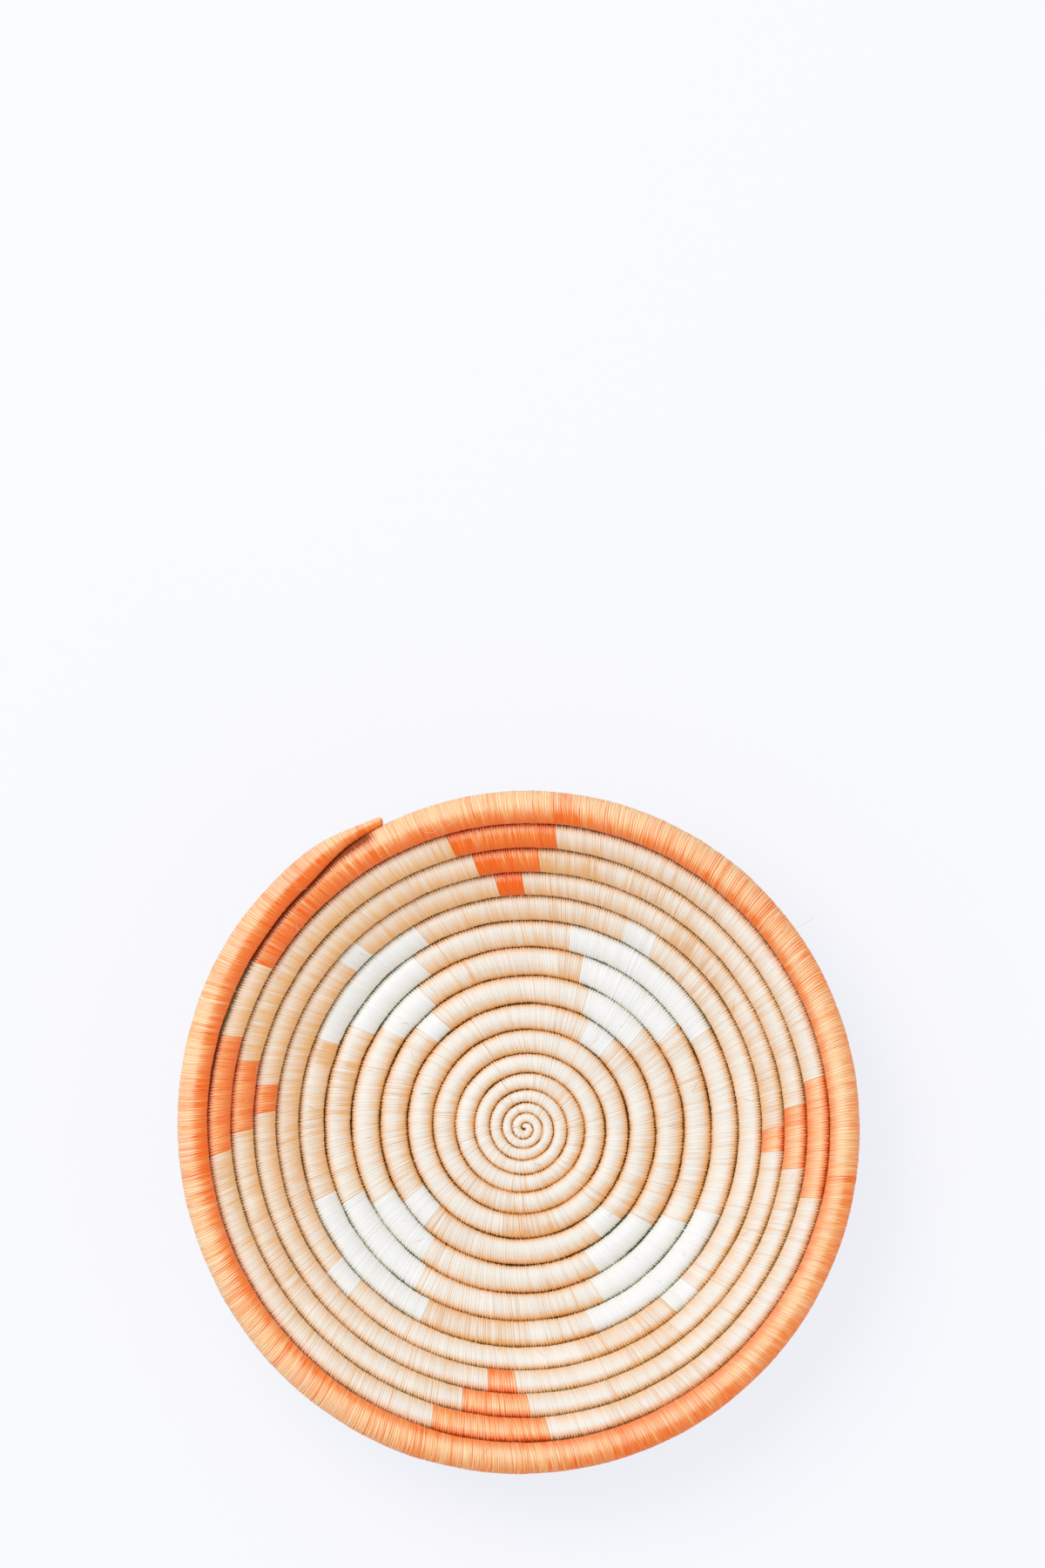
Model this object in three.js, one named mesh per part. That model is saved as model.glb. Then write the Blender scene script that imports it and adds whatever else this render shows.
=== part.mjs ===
// A shallow coiled bowl, about 255 mm across and 52 mm tall. One grass bundle winds as a spiral from the
// middle of the base to a tapered tail on the rim. Sisal is wrapped round it all the way, and each turn is
// stitched to the turn before. The wrap is natural, with stepped white blocks in the bowl's curve, stepped
// orange blocks under the rim and an orange rim.
//
// Sizes are in millimetres. +Z is up, the bowl stands on z = 0 and +Y is the top of the picture. Places
// along the coil are counted in turns from its start. A bearing is in degrees clockwise from +Y, seen from
// above, which is the way that the coil winds outwards.

import * as THREE from "three";

// The coil
const COIL_TURNS = 15.18; // from the start of the coil to the tip of its tail
const START_BEARING = 270;
const START_DIAMETER = 3.2; // the coil is thin at the centre of the base
const COIL_DIAMETER = 10.9; // and reaches this after GROWTH_TURNS
const GROWTH_TURNS = 8;
const RIM_DIAMETER = 11.9; // it swells to this over the WALL_TURNS
const WALL_TURNS = 6; // how many of the last turns make the wall
const TAIL_DIAMETER = 3.4;
const TAIL_TURNS = 0.047; // length of the taper to the tail's tip
const TAIL_SINK = 30; // degrees by which the tip lies lower on the turn inside it than the rest does
const TURN_GAP = 0.55; // between facing flats of neighbouring turns

// The coil is wound by hand, so its thickness varies by these shares. The wall is a little oval: its coil
// grows fatter towards +Y and -Y and thinner towards +X and -X, up to OVAL_SHARE at the rim.
const FAT_SIDE = { bearing: 345, share: 0.008 };
const OVAL_SHARE = 0.04;

// The bowl's shape, along the middle of the coil
const BASE_RADIUS = 57; // the base is flat out to here
const CURVE_RADIUS = 56;
const WALL_SLOPE = 40; // degrees
const FOOT_CUT = COIL_DIAMETER / 10; // the turns that the bowl stands on are pressed flat by this much

// The layers of one turn, from outside in
const COLOUR_THICKNESS = 0.5; // a colour block's wrap
const CARRIED_THICKNESS = 0.5; // the natural strand that is carried under a colour block
const CLEARANCE = 0.3;
const WRAP_THICKNESS = COLOUR_THICKNESS + CLEARANCE + CARRIED_THICKNESS;

// The knot that the coil starts from
const KNOT_RADIUS = 0.7;
const KNOT_HEIGHT = 3.2;
const KNOT_CROWN = 0.6; // the knot's top and bottom edges are rounded off by this much

// Facets
const TURN_STEPS = 22;
const COARSE_TURNS = 4.25; // turns this near the centre take half the steps
const WRAP_SIDES = 8;
const CORE_SIDES = 6;
const SECTIONS_PER_TURN = 48; // where the gap between turns is measured
const POINTS_PER_SIDE = 4;

// The pattern. Rounds are counted inwards from the rim, and each block is [first, last] bearing.
const ORANGE_BLOCKS = {
  north: { 2: [345.5, 366.5], 3: [349.5, 363], 4: [353.5, 360] },
  east: { 2: [80.5, 104], 3: [85.5, 99], 4: [90, 95.5] },
  south: { 2: [175.5, 198], 3: [179.5, 193], 4: [182, 188.5] },
  west: { 2: [265.5, 287.5], 3: [269.5, 284], 4: [273.5, 279.5] },
};
const WHITE_BLOCKS = {
  north_east: { 5: [27, 35.5], 6: [13.5, 62], 7: [19.5, 57], 8: [25.5, 51.5], 9: [31, 46] },
  south_east: { 5: [133.5, 141], 6: [115, 161], 7: [121, 156], 8: [128, 153], 9: [134.5, 147] },
  south_west: { 5: [227, 234.5], 6: [209, 251.5], 7: [215, 248], 8: [219, 244.5], 9: [226, 239.5] },
  north_west: { 5: [312.5, 318], 6: [294, 332], 7: [301, 327.5], 8: [306, 323.5], 9: [314, 322.5] },
};
const RIM_START = { round: 2, bearing: 302 }; // the orange rim begins here

const NATURAL = new THREE.MeshStandardMaterial({ color: "#e9d2ae", roughness: 0.6, metalness: 0 });
const WHITE = new THREE.MeshStandardMaterial({ color: "#f3f3e8", roughness: 0.6, metalness: 0 });
const ORANGE = new THREE.MeshStandardMaterial({ color: "#ef7d3a", roughness: 0.5, metalness: 0 });
const GRASS = new THREE.MeshStandardMaterial({ color: "#b79a5a", roughness: 0.8, metalness: 0 });

const { lerp, smoothstep, degToRad, euclideanModulo } = THREE.MathUtils;
const HALF_SIDE = Math.PI / WRAP_SIDES;

// The bearing of a place on the coil, in radians.
function bearingOf(turn) {
  return degToRad(START_BEARING) + turn * 2 * Math.PI;
}

// How far into the tail's taper a place on the coil lies, from 0 to 1 at the tip.
function inTail(turn) {
  return smoothstep(turn, COIL_TURNS - TAIL_TURNS, COIL_TURNS);
}

// Half the coil's thickness, to a corner of its section.
function coilRadius(turn) {
  const grown = lerp(START_DIAMETER, COIL_DIAMETER, smoothstep(turn, 0, GROWTH_TURNS));
  const upWall = smoothstep(turn, COIL_TURNS - WALL_TURNS, COIL_TURNS - 1);
  const bearing = bearingOf(turn);
  const oneSided = FAT_SIDE.share * Math.cos(bearing - degToRad(FAT_SIDE.bearing));
  const oval = OVAL_SHARE * upWall * Math.cos(2 * bearing);
  const wound = lerp(grown, RIM_DIAMETER, upWall) * (1 + oneSided + oval);
  return lerp(wound, TAIL_DIAMETER, inTail(turn)) / 2;
}

// A point of the bowl's profile, at a distance along it from the centre.
function profile(distance) {
  const slope = Math.min(Math.max(0, distance - BASE_RADIUS) / CURVE_RADIUS, degToRad(WALL_SLOPE));
  const straight = distance - CURVE_RADIUS * slope - Math.min(distance, BASE_RADIUS);
  return {
    slope,
    radius:
      Math.min(distance, BASE_RADIUS) + CURVE_RADIUS * Math.sin(slope) + straight * Math.cos(slope),
    height: CURVE_RADIUS * (1 - Math.cos(slope)) + straight * Math.sin(slope),
  };
}

// How far along the profile a turn lies from the one inside it. Where the profile curves, their facing
// flats lean towards each other, so the turns lie further apart by that much. The tail turns as it sinks,
// so there a corner may face the turn inside.
function seat(turn, inner) {
  const both = coilRadius(turn) + coilRadius(turn - 1);
  const pitch = both * lerp(Math.cos(HALF_SIDE), 1, inTail(turn)) + TURN_GAP;
  const lean = (profile(inner + pitch).slope - profile(inner).slope) / 2;
  return pitch + both * Math.sin(HALF_SIDE) * Math.sin(lean);
}

// The coil's distance from the centre along the profile: each turn is laid against the one inside it.
function laid(turn) {
  const first = KNOT_RADIUS + TURN_GAP + coilRadius(0) * Math.cos(HALF_SIDE);
  if (turn < 1) return first + turn * seat(1, first);
  const inner = laid(turn - 1);
  return inner + seat(turn, inner);
}

// Where the middle of the coil lies. The tail sinks round the outside of the turn that it is stitched to.
function place(turn) {
  const spot = profile(laid(turn));
  if (inTail(turn) === 0) return spot;
  const inner = profile(laid(turn - 1));
  const reach = Math.hypot(spot.radius - inner.radius, spot.height - inner.height);
  const slope = spot.slope - degToRad(TAIL_SINK) * inTail(turn);
  return {
    slope,
    radius: inner.radius + reach * Math.cos(slope),
    height: inner.height + reach * Math.sin(slope),
  };
}

// One corner ring of a section through the coil, in the upright plane at its bearing. The foot is pressed
// flat, and an inner layer's foot lies as far above the outside's as its other faces lie inside it.
function stationRing(turn, inset, sides) {
  const { slope, radius, height } = place(turn);
  const bearing = bearingOf(turn);
  const middle = COIL_DIAMETER / 2 - FOOT_CUT + height;
  const size = coilRadius(turn) - inset;
  return Array.from({ length: sides }, (_, i) => {
    const angle = (2 * Math.PI * (i + 0.5)) / sides + slope;
    const out = radius + size * Math.cos(angle);
    const up = Math.max(inset, middle + size * Math.sin(angle));
    return new THREE.Vector3(out * Math.sin(bearing), out * Math.cos(bearing), up);
  });
}

// The stations that the coil's facets meet at, in turns.
const STATIONS = [];
for (let step = 0; step < COIL_TURNS * TURN_STEPS; step++) {
  const turn = step / TURN_STEPS;
  if (turn >= COARSE_TURNS || step % 2 === 0) STATIONS.push(turn);
}
STATIONS.push(COIL_TURNS);

// A ring anywhere on the coil: between two stations it lies on the flat facets that join them.
function ring(turn, inset, sides) {
  const next = STATIONS.findIndex((station) => station >= turn);
  const after = stationRing(STATIONS[next], inset, sides);
  if (STATIONS[next] === turn) return after;
  const before = stationRing(STATIONS[next - 1], inset, sides);
  const share = (turn - STATIONS[next - 1]) / (STATIONS[next] - STATIONS[next - 1]);
  return after.map((point, i) => before[i].clone().lerp(point, share));
}

// Rings from one place on the coil to another, with one at each station between.
function run(from, to, inset, sides = WRAP_SIDES) {
  const between = STATIONS.filter((station) => station > from && station < to);
  return [from, ...between, to].map((turn) => ring(turn, inset, sides));
}

// A solid whose skin runs from ring to ring. It closes on its first ring, or on a flat cap at each end.
function loft(rings, looped) {
  const sides = rings[0].length;
  const points = rings.flat();
  const index = [];
  const joins = looped ? rings.length : rings.length - 1;
  for (let r = 0; r < joins; r++) {
    const here = r * sides;
    const there = ((r + 1) % rings.length) * sides;
    for (let i = 0; i < sides; i++) {
      const next = (i + 1) % sides;
      index.push(here + i, there + next, there + i, here + i, here + next, there + next);
    }
  }
  if (!looped) {
    const last = (rings.length - 1) * sides;
    for (let i = 1; i < sides - 1; i++) {
      index.push(0, i + 1, i);
      index.push(last, last + i, last + i + 1);
    }
  }
  const geometry = new THREE.BufferGeometry().setFromPoints(points);
  geometry.setIndex(index);
  geometry.computeVertexNormals();
  return geometry;
}

function part(name, geometry, material) {
  const mesh = new THREE.Mesh(geometry, material);
  mesh.name = name;
  return mesh;
}

// A length in millimetres along the coil, turned into turns at a place on it.
function asTurns(length, turn) {
  return length / (2 * Math.PI * profile(laid(turn)).radius);
}

// A wrap's two ends, each drawn back by half the clearance to the wrap that it meets.
function drawnBack([from, to]) {
  return [from + asTurns(CLEARANCE / 2, from), to - asTurns(CLEARANCE / 2, to)];
}

// Where a bearing falls in a round.
function turnAt(round, bearing) {
  const tailBearing = START_BEARING + 360 * COIL_TURNS;
  return COIL_TURNS - round + euclideanModulo(bearing - tailBearing, 360) / 360;
}

// The pattern's blocks in order along the coil, each with its two places in turns.
function blocksOf(colour, motifs) {
  return Object.entries(motifs).flatMap(([side, rounds]) =>
    Object.entries(rounds).map(([round, bearings]) => ({
      name: `${colour}_wrap_${side}_${round}`,
      colour,
      span: bearings.map((bearing) => turnAt(Number(round), bearing)),
    })),
  );
}

// A colour block: a thin sleeve over the waist of the natural wrap.
function colourWrap({ name, colour, span }) {
  const [from, to] = drawnBack(span);
  const outside = run(from, to, 0);
  const bore = run(from, to, COLOUR_THICKNESS);
  return part(name, loft([...outside, ...bore.reverse()], true), colour === "white" ? WHITE : ORANGE);
}

// A length of natural wrap: a sleeve round the core, with a waist under each colour block.
function naturalWrap(name, span, blocks) {
  const [from, to] = drawnBack(span);
  const waist = COLOUR_THICKNESS + CLEARANCE;
  const outside = [];
  let reached = from;
  for (const block of blocks) {
    const [first, last] = block.span;
    const waistStart = first - asTurns(CLEARANCE / 2, first);
    const waistEnd = last + asTurns(CLEARANCE / 2, last);
    outside.push(...run(reached, waistStart, 0), ...run(waistStart, waistEnd, waist));
    reached = waistEnd;
  }
  outside.push(...run(reached, to, 0));
  return part(name, loft([...outside, ...run(from, to, WRAP_THICKNESS).reverse()], true), NATURAL);
}

// Where the core stops, inside the rim's wrap and short of the taper.
const CORE_END = COIL_TURNS - TAIL_TURNS;

// The rim's wrap, which closes over the core's end and goes on as the solid tip of the tail.
function rimWrap(from) {
  const start = from + asTurns(CLEARANCE / 2, from);
  const blindEnd = CORE_END + asTurns(CLEARANCE, CORE_END);
  const bore = run(start, blindEnd, WRAP_THICKNESS).reverse();
  return part("orange_wrap_rim", loft([...bore, ...run(start, COIL_TURNS, 0)], false), ORANGE);
}

// The grass bundle, in one unbroken length.
function grassCore() {
  const snug = COIL_DIAMETER / 2 - WRAP_THICKNESS;
  const inset = WRAP_THICKNESS + CLEARANCE + snug * (1 - Math.cos(HALF_SIDE));
  return part("grass_core", loft(run(0, CORE_END, inset, CORE_SIDES), false), GRASS);
}

// The start knot: a small round-edged button whose outline follows the inside of the first turn.
function centreKnot() {
  const steps = TURN_STEPS / 2;
  const levels = [
    { up: KNOT_HEIGHT / 2, inset: KNOT_CROWN },
    { up: KNOT_HEIGHT / 2 - KNOT_CROWN, inset: 0 },
    { up: KNOT_CROWN - KNOT_HEIGHT / 2, inset: 0 },
    { up: -KNOT_HEIGHT / 2, inset: KNOT_CROWN },
  ];
  const rings = levels.map(({ up, inset }) =>
    Array.from({ length: steps }, (_, i) => {
      const turn = i / steps;
      const bearing = bearingOf(turn);
      const out = laid(turn) - coilRadius(turn) * Math.cos(HALF_SIDE) - TURN_GAP - inset;
      return new THREE.Vector3(
        out * Math.sin(bearing),
        out * Math.cos(bearing),
        COIL_DIAMETER / 2 - FOOT_CUT + up,
      );
    }),
  );
  return part("centre_knot", loft(rings, false), NATURAL);
}

// The least gap between the outsides of neighbouring turns, measured between points on their sections.
function leastTurnGap() {
  const outline = (turn) =>
    ring(turn, 0, WRAP_SIDES).flatMap((corner, i, corners) =>
      Array.from({ length: POINTS_PER_SIDE }, (_, point) =>
        corner.clone().lerp(corners[(i + 1) % WRAP_SIDES], point / POINTS_PER_SIDE),
      ),
    );
  let least = Infinity;
  for (let turn = 1; turn <= COIL_TURNS; turn += 1 / SECTIONS_PER_TURN) {
    const inner = outline(turn - 1);
    for (const point of outline(turn)) {
      for (const other of inner) least = Math.min(least, point.distanceTo(other));
    }
  }
  return least;
}

const blocks = [...blocksOf("white", WHITE_BLOCKS), ...blocksOf("orange", ORANGE_BLOCKS)];
blocks.sort((a, b) => a.span[0] - b.span[0]);
const rimStart = turnAt(RIM_START.round, RIM_START.bearing);
const innermost = Math.floor(COIL_TURNS);

const basket = new THREE.Group();
basket.add(centreKnot(), grassCore());
for (let round = innermost; round >= RIM_START.round; round--) {
  const from = round === innermost ? 0 : COIL_TURNS - round;
  const to = Math.min(rimStart, COIL_TURNS - round + 1);
  const covered = blocks.filter(({ span }) => span[0] > from && span[1] < to);
  const name = `natural_wrap_round_${String(round).padStart(2, "0")}`;
  basket.add(naturalWrap(name, [from, to], covered));
}
basket.add(...blocks.map(colourWrap), rimWrap(rimStart));

// The origin is at the middle of the base of the whole bowl, which its spiral leaves a little off centre.
const middle = new THREE.Box3().setFromObject(basket).getCenter(new THREE.Vector3());
basket.position.set(-middle.x, -middle.y, 0);

console.log(`least gap between turns: ${leastTurnGap().toFixed(2)} mm`);

const model = new THREE.Group();
model.add(basket);
export default model;
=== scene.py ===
"""A coiled bowl: one grass bundle wound as a spiral, wrapped in sisal and stitched turn to turn.

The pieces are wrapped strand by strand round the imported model's coil, in its frame: metres, +Z up, +Y at
the top of the picture. Bearings are clockwise from +Y seen from above, which is the way the coil winds
outwards. A place along the coil is counted in turns from its start, and a round inwards from the rim.
"""

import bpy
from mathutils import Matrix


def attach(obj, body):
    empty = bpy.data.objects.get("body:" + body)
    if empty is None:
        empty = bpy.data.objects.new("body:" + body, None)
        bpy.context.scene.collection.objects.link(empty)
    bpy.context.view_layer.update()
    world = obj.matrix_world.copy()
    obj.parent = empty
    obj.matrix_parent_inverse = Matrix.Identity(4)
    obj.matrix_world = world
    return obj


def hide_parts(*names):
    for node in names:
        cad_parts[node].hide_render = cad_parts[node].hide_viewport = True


bl_info = {
    "name": "Coiled Bowl",
    "version": (1, 0, 0),
    "blender": (4, 5, 0),
    "location": "3D View > Sidebar > Coiled Bowl",
    "description": "Wraps a coiled bowl in sisal strands and sets up its studio",
    "category": "Object",
}

import math

import bmesh
import bpy
import numpy as np
from mathutils import Vector

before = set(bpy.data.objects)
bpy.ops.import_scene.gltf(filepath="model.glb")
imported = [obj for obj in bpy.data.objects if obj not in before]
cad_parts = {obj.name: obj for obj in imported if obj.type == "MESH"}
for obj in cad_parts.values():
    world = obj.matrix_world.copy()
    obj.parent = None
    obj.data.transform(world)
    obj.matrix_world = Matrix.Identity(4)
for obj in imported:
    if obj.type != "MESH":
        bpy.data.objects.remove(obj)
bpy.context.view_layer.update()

MM = 0.001

# --- The law of the coil, in millimetres and turns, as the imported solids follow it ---
COIL_TURNS = 15.18
START_BEARING = math.radians(270)
START_DIAMETER = 3.2
COIL_DIAMETER = 10.9
GROWTH_TURNS = 8  # over which it grows to that
RIM_DIAMETER = 11.9
WALL_TURNS = 6  # the last ones, which make the wall
TAIL_DIAMETER = 3.4
TAIL_TURNS = 0.047
TAIL_SINK = math.radians(30)
TAIL_SLACK = 0.16  # how much thinner the coil gets before its taper
SLACK_FROM, SLACK_TO = COIL_TURNS - 0.11, COIL_TURNS - 0.03
TURN_GAP = 0.55  # between the sides of two turns
FAT_BEARING = math.radians(345)
FAT_SHARE = 0.008  # how much thicker it is on that side
OVAL_SHARE = 0.04  # and, at the rim, towards +Y and -Y
BASE_RADIUS = 57
CURVE_RADIUS = 56
WALL_SLOPE = math.radians(40)
FOOT_HEIGHT = COIL_DIAMETER * 0.4  # of the coil's middle over the floor, as its foot is pressed flat
KNOT_RADIUS = 0.7
HALF_SIDE = math.pi / 8  # half of one of the eight sides of the solids' section
MIDDLE = (2.317, 1.566)  # the spiral's axis in the frame

# The start knot is the coil's first bend: the spiral run on inwards, and thinner
KNOT_TURNS = 0.93
KNOT_END_DIAMETER = 1.9
HEART_RADIUS, HEART_FLATNESS, HEART_HEIGHT = 1.25, 0.8, 1.7  # the bundle's end, in the middle of the knot

# How deep the wrap's layers lie under its outside
SLEEVE_DEPTH = 0.5  # a colour block's bore
WAIST_DEPTH = 0.8  # the natural strands carried under a colour block
BORE_DEPTH = 1.3  # where the grass bundle begins
DEEPEST_VALLEY = 0.42  # between two strands, so that it stays above the layer under it
CORE_TURNS = COIL_TURNS - TAIL_TURNS
CORE_PLAY = 0.25  # between the grass bundle and the wrap round it
CORE_SHORT = 4  # strands by which the bundle ends before its hollow does

# The section is a full-shouldered oval: where a turn is squeezed by a neighbour its side is flatter
SEATED_POWER = 2.45
FREE_POWER = 2.1
HEIGHT_SHARE = 0.965  # of half the coil's thickness
SQUEEZE = 0.07  # how far a turn is pressed into its neighbour
OVERHANG = 0.2  # how much further up the flank the gap's shadow reaches on the wall
TAIL_SHADE = 0.36  # the same for the seat of the tail
SHADE_FROM, SHADE_TO = COIL_TURNS - 0.2, COIL_TURNS - 0.1  # where that sets in
TIP_FROM = COIL_TURNS - 0.01  # where it leaves off on the rim, just short of the tip
TIP_GAP = 0.85  # how much of it there is where the rim stands free beside the tip
OUTWARD = 0.3  # the pull of the stitches: each turn bulges outwards over the middle of its gap
NOSE_SHARE = 0.8  # how far the tail's blunt tip stands out, of half its thickness
TIP_ANGLES = np.radians((25, 50, 70, 84))

# Angles round the section where the strands have points, from the outer side over the top
TOP_ANGLES = (0, 9, 21, 39, 63, 90, 117, 141, 159, 171, 180)
UNDER_ANGLES = (190, 206, 236, 270, 304, 334, 350, 360)
ANGLES = np.radians(TOP_ANGLES + UNDER_ANGLES)
ROWS = len(ANGLES)
SHARP_ANGLE = math.radians(80)
TABLE_STEP = 1 / 1440  # of a turn, between two places in the coil's table

# Across one strand: a valley and two shoulders
ACROSS = (0.0, 0.3, 0.7)
SINK = (1.0, 0.0, 0.0)
HIDDEN_STRIDE = 12  # strands between the points of a layer that never shows

# --- The pattern, as [first, last] bearing in each round ---
ORANGE_BLOCKS = {
    "north": {2: (345.5, 366.5), 3: (349.5, 363), 4: (353.5, 360)},
    "east": {2: (80.5, 104), 3: (85.5, 99), 4: (90, 95.5)},
    "south": {2: (175.5, 198), 3: (179.5, 193), 4: (182, 188.5)},
    "west": {2: (265.5, 287.5), 3: (269.5, 284), 4: (273.5, 279.5)},
}
WHITE_BLOCKS = {
    "north_east": {5: (27, 35.5), 6: (13.5, 62), 7: (19.5, 57), 8: (25.5, 51.5), 9: (31, 46)},
    "south_east": {5: (133.5, 141), 6: (115, 161), 7: (121, 156), 8: (128, 153), 9: (134.5, 147)},
    "south_west": {5: (227, 234.5), 6: (209, 251.5), 7: (215, 248), 8: (219, 244.5), 9: (226, 239.5)},
    "north_west": {5: (312.5, 318), 6: (294, 332), 7: (301, 327.5), 8: (306, 323.5), 9: (314, 322.5)},
}
RIM_START = (2, 302)

# Lengths of sisal that came out darker (below 0) or paler than the rest, by round: bearings and a tone. The
# paler lengths on the rim's east side are painted light instead: they lift the side that faces away from the
# key lamp.
PATCHES = {
    1: (
        (336, 365, 0.3), (5, 10, -0.7), (10, 35, 0.4), (50, 66, 0.2), (66, 82, 0.55), (82, 97, 0.8),
        (103, 126, 0.4), (126, 142, 0.15), (142, 158, -0.25), (158, 168, -0.8), (168, 173.5, -0.3),
        (173.5, 193, 0.3), (200, 217, 0.3), (228, 246, 0.35), (296, 311, -0.3), (311, 324, -0.8),
    ),
    2: ((345.5, 350, -1.2), (350, 366.5, -0.35), (80.5, 104, 0.5), (175.5, 198, 0.4), (265.5, 287.5, 0.5)),
    3: (
        (349.5, 354.5, -1.2), (354.5, 363, -0.35), (85.5, 90, -0.5), (90, 99, 0.5), (179.5, 193, 0.3),
        (203.5, 207.5, 0.8), (227, 231, 0.6), (253, 256.5, 0.9), (269.5, 284, 0.4),
    ),
    4: ((353.5, 360, -1.1), (273.5, 279.5, 0.3)),
    6: ((2.5, 8, -0.35), (175, 178.6, 0.9)),
    7: ((11.5, 19.4, -0.95),),
}

# Fibres that came loose and were pressed flat again, seen from above, in millimetres in the frame
FIBRE_RADIUS = 0.08
FIBRE_SIDES = 4
ORANGE_FIBRES = (
    ((-37.6, 112.5), (-31.4, 112.1), (-27.8, 116.4)),
    ((-27.2, 113.8), (-24.2, 115.7), (-21, 118.3)),
    ((-30.4, 118), (-28.8, 115.4), (-26.5, 113.1)),
    ((-17.4, 113.4), (-16.1, 116.7), (-11.6, 120.6), (-6.4, 123.8)),
    ((0.1, 115.4), (3.1, 114.7), (7, 116.7)),
    ((-52.8, 104), (-51.5, 102.7), (-50.6, 103.7)),
    ((-116.2, 55.3), (-112, 53.9), (-107.8, 53)),
    ((-126, 24.4), (-120.8, 24.1), (-115.6, 24.4)),
    ((-110.7, 36.4), (-107.4, 36.7), (-104.2, 36.1)),
)
RIM_HAIR = ((101, 74.5, 44.8), (104.6, 76.8, 44.9), (107.6, 78.4, 45), (110.4, 80, 44.8))
NATURAL_FIBRES = (
    ((1.8, 12.3), (1.9, 11.2), (2, 10.2)),
    ((-8, 62), (-7.2, 59), (-7.6, 56.4)),
    ((44, -31), (46.6, -32.2), (48.6, -34.4)),
    ((-62, -61.5), (-60.2, -64), (-59.6, -66.6)),
)
GRASS_FIBRES = (
    ((4.2, -10.2), (6.9, -12), (11.5, -11.7)),
    ((-38.2, 14.3), (-35, 14.5), (-31.7, 14.3)),
)
STITCH_TIPS = ((-2.9, 88.8), (1.1, 89.1), (4.2, 89.4))  # of the orange thread, in the gap under a block
STITCH_ARC = ((-0.9, -0.9), (-0.5, -0.1), (0.0, 0.15), (0.5, 0.1), (0.9, -0.5))
SPRUNG_FIBRES = 80
SPRUNG_TURNS = 9  # the outer turns they come loose from


def smoothstep(x, low, high):
    share = np.clip((x - low) / (high - low), 0, 1)
    return share * share * (3 - 2 * share)


def bearing_of(turn):
    return START_BEARING + turn * 2 * math.pi


def in_tail(turn):
    """How far into the tail's taper a place on the coil lies, from 0 to 1 at the tip."""
    return smoothstep(turn, COIL_TURNS - TAIL_TURNS, COIL_TURNS)


def coil_radius(turn):
    """Half the coil's thickness."""
    turn = np.asarray(turn, float)
    grown = START_DIAMETER + (COIL_DIAMETER - START_DIAMETER) * smoothstep(turn, 0, GROWTH_TURNS)
    up_wall = smoothstep(turn, COIL_TURNS - WALL_TURNS, COIL_TURNS - 1)
    bearing = bearing_of(turn)
    one_sided = FAT_SHARE * np.cos(bearing - FAT_BEARING)
    oval = OVAL_SHARE * up_wall * np.cos(2 * bearing)
    wound = (grown + (RIM_DIAMETER - grown) * up_wall) * (1 + one_sided + oval)
    wound = wound + (TAIL_DIAMETER - wound) * in_tail(turn)
    wound = wound * (1 - TAIL_SLACK * smoothstep(turn, SLACK_FROM, SLACK_TO))
    knotted = smoothstep(turn, 0, -KNOT_TURNS)
    return (wound + (KNOT_END_DIAMETER - wound) * knotted) / 2


def profile(distance):
    """Slope, radius and height of the bowl's profile, at a distance along it from the centre."""
    slope = np.minimum(np.maximum(0, distance - BASE_RADIUS) / CURVE_RADIUS, WALL_SLOPE)
    flat = np.minimum(distance, BASE_RADIUS)
    straight = distance - CURVE_RADIUS * slope - flat
    radius = flat + CURVE_RADIUS * np.sin(slope) + straight * np.cos(slope)
    return slope, radius, CURVE_RADIUS * (1 - np.cos(slope)) + straight * np.sin(slope)


def seat(turn, inner):
    """How far along the profile a turn lies from the one inside it."""
    both = coil_radius(turn) + coil_radius(turn - 1)
    pitch = both * (math.cos(HALF_SIDE) + (1 - math.cos(HALF_SIDE)) * in_tail(turn)) + TURN_GAP
    lean = (profile(inner + pitch)[0] - profile(inner)[0]) / 2
    return pitch + both * math.sin(HALF_SIDE) * np.sin(lean)


def laid(turn):
    """The coil's distance from the centre along the profile: each turn is laid against the one inside it."""
    whole = np.floor(turn)
    part = turn - whole
    first = KNOT_RADIUS + TURN_GAP + float(coil_radius(0)) * math.cos(HALF_SIDE)
    reach = first + part * seat(1.0, first)
    for round_in in range(1, math.ceil(COIL_TURNS) + 1):
        reach = np.where(whole >= round_in, reach + seat(part + round_in, reach), reach)
    inward = (coil_radius(turn) + coil_radius(turn + 1)) * math.cos(HALF_SIDE) + TURN_GAP
    return np.where(whole < 0, first + part * seat(1.0, first) - inward, reach)


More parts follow.
